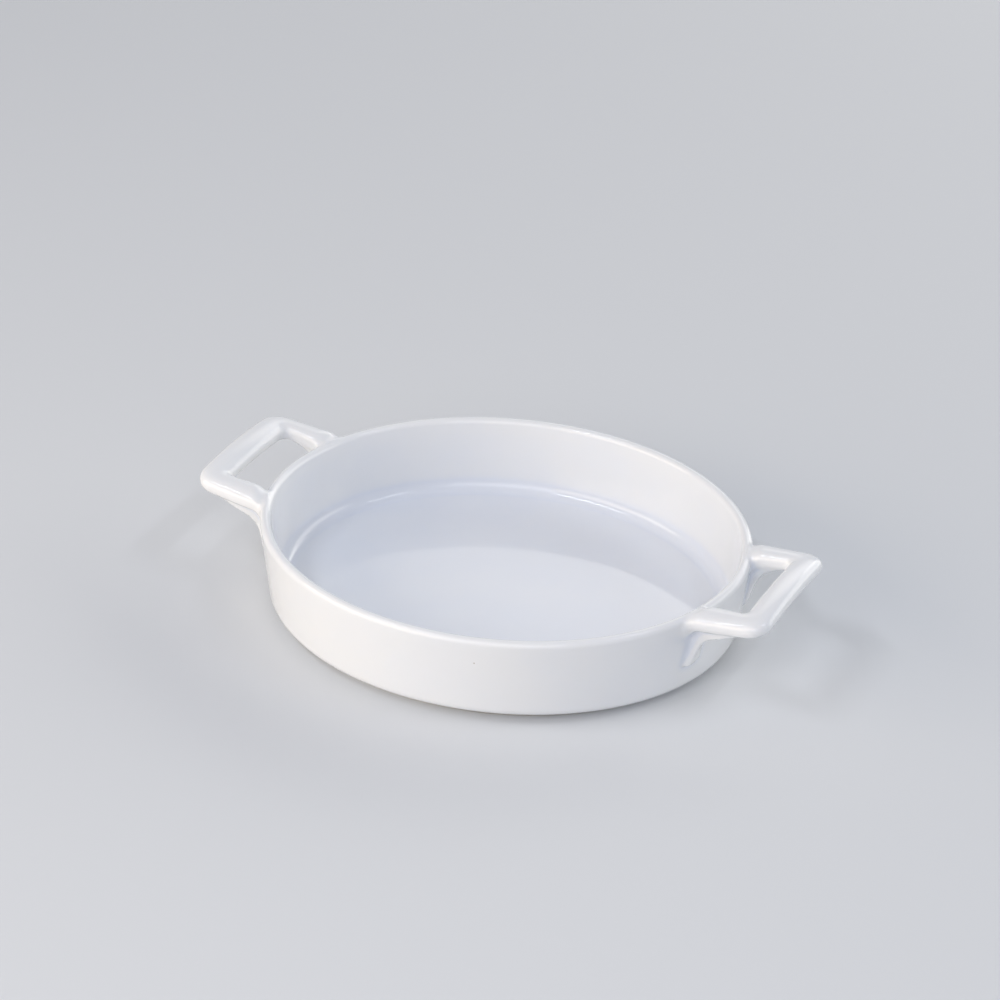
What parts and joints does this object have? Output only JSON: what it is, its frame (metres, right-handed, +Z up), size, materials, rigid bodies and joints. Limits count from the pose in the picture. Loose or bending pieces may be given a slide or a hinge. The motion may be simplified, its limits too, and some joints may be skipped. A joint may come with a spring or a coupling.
{
  "type": "creme brulee dish",
  "caption": "Low oval glazed porcelain dish for individual baked custards, with an open loop handle on ogee brackets at each end.",
  "frame": {"origin": "centre of the plane the foot ring rests on, midway between the two handles", "axes": "+X runs along the handles, the long way of the oval; +Z up out of the dish; +Y completes the right-handed frame"},
  "size_m": [0.15, 0.108, 0.0268],
  "materials": {
    "glazed_porcelain": "gloss"
  },
  "bodies": {
    "root": {"dish_body": "glazed_porcelain", "handle_left": "glazed_porcelain", "handle_right": "glazed_porcelain"}
  },
  "joints": []
}
